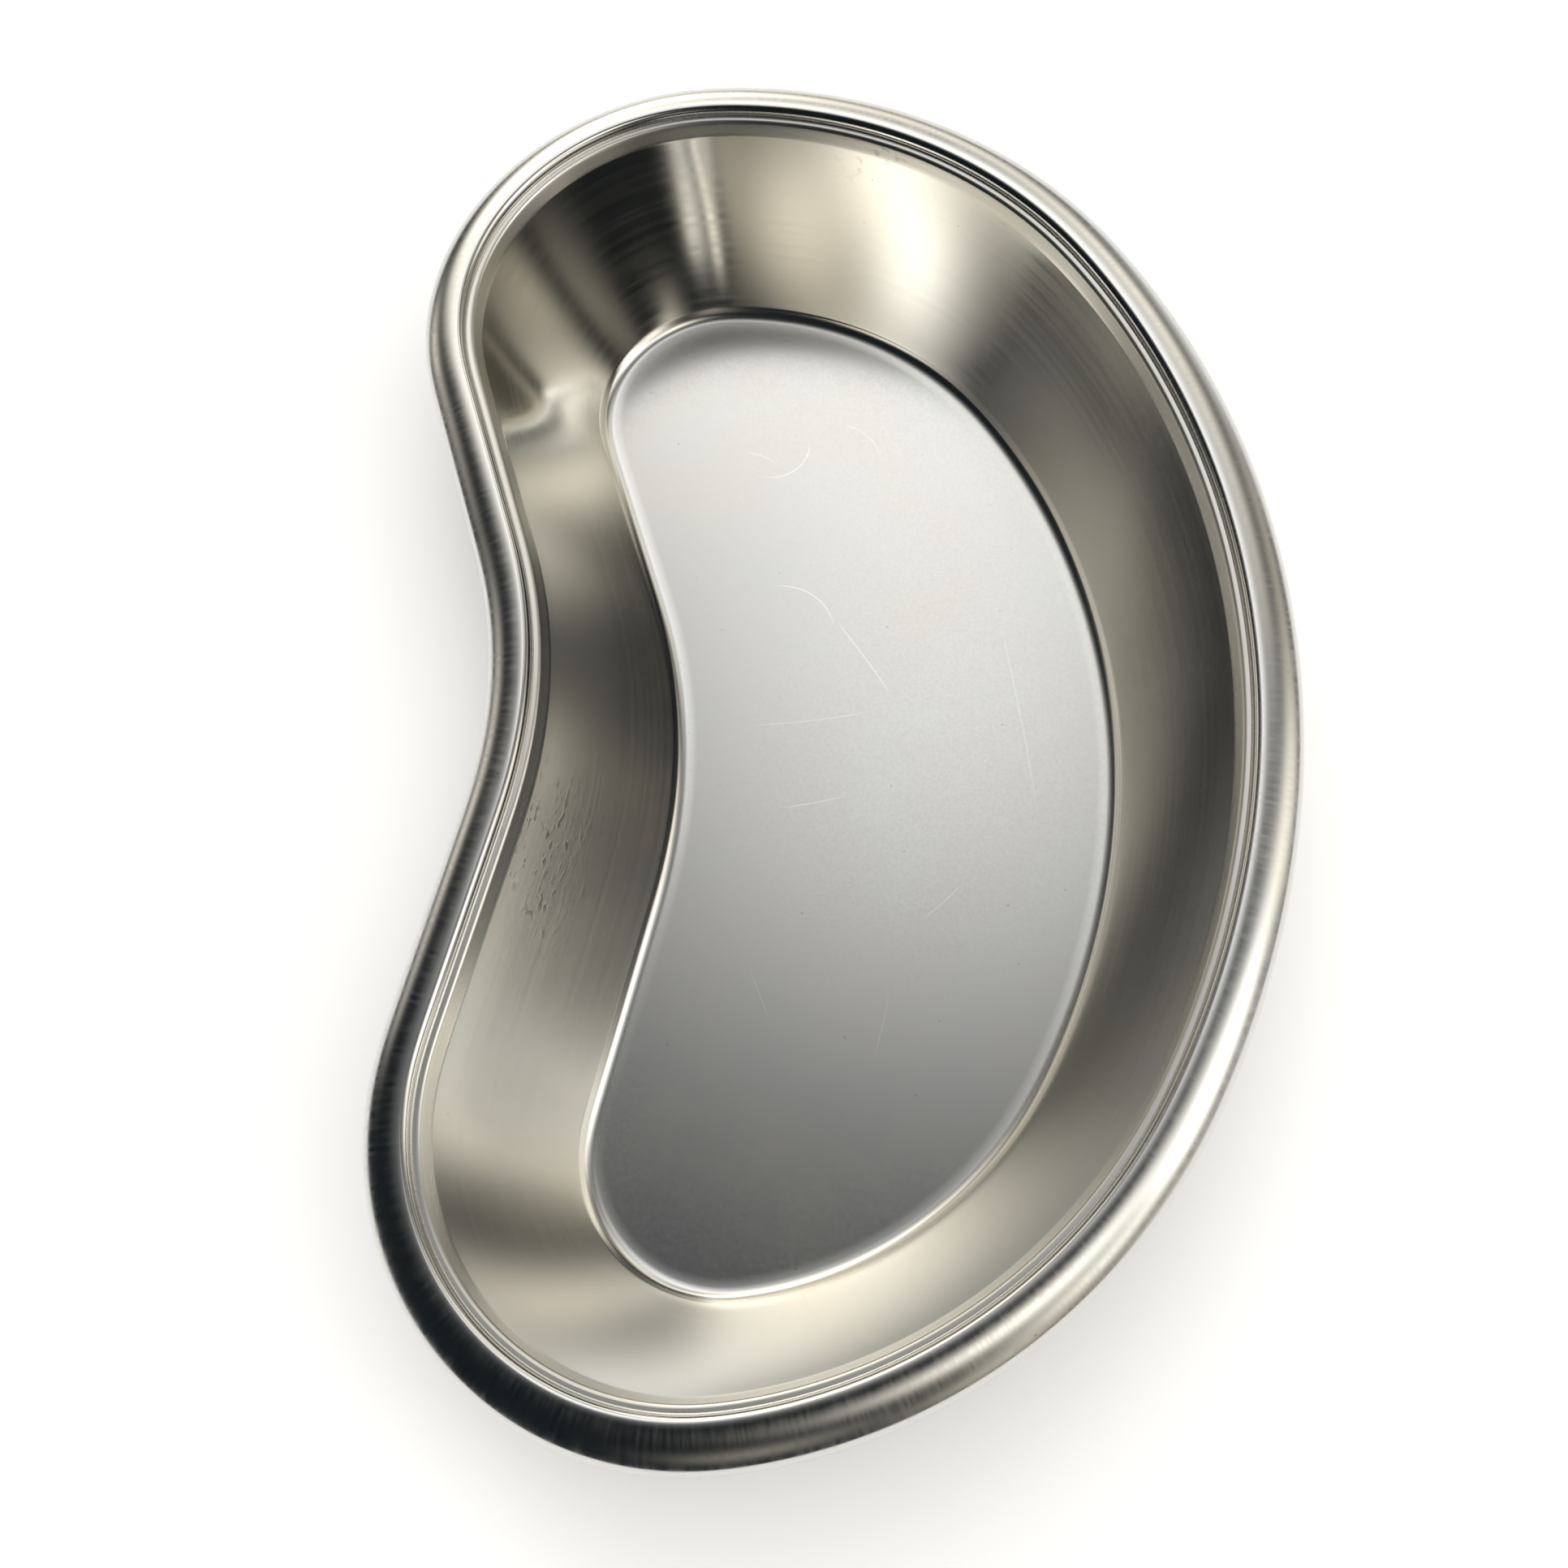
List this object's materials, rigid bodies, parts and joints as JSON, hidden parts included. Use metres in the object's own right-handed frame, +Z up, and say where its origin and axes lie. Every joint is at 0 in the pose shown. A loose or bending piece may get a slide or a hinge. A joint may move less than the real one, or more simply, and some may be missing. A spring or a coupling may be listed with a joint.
{
  "type": "kidney dish",
  "caption": "Kidney-shaped dish pressed from stainless steel sheet, with a flat floor, a leaning wall and a hollow rolled rim.",
  "frame": {"origin": "on the resting surface, under the middle of the bounding box", "axes": "+X along the dish, +Y from the hollow waist to the round back, +Z up out of the mouth"},
  "size_m": [0.2, 0.1192, 0.031],
  "materials": {
    "satin_steel": "satin floor, drawn and buffed wall",
    "polished_steel": "polished"
  },
  "bodies": {
    "root": {"dish_pan": "satin_steel", "rolled_rim": "polished_steel"}
  },
  "joints": []
}
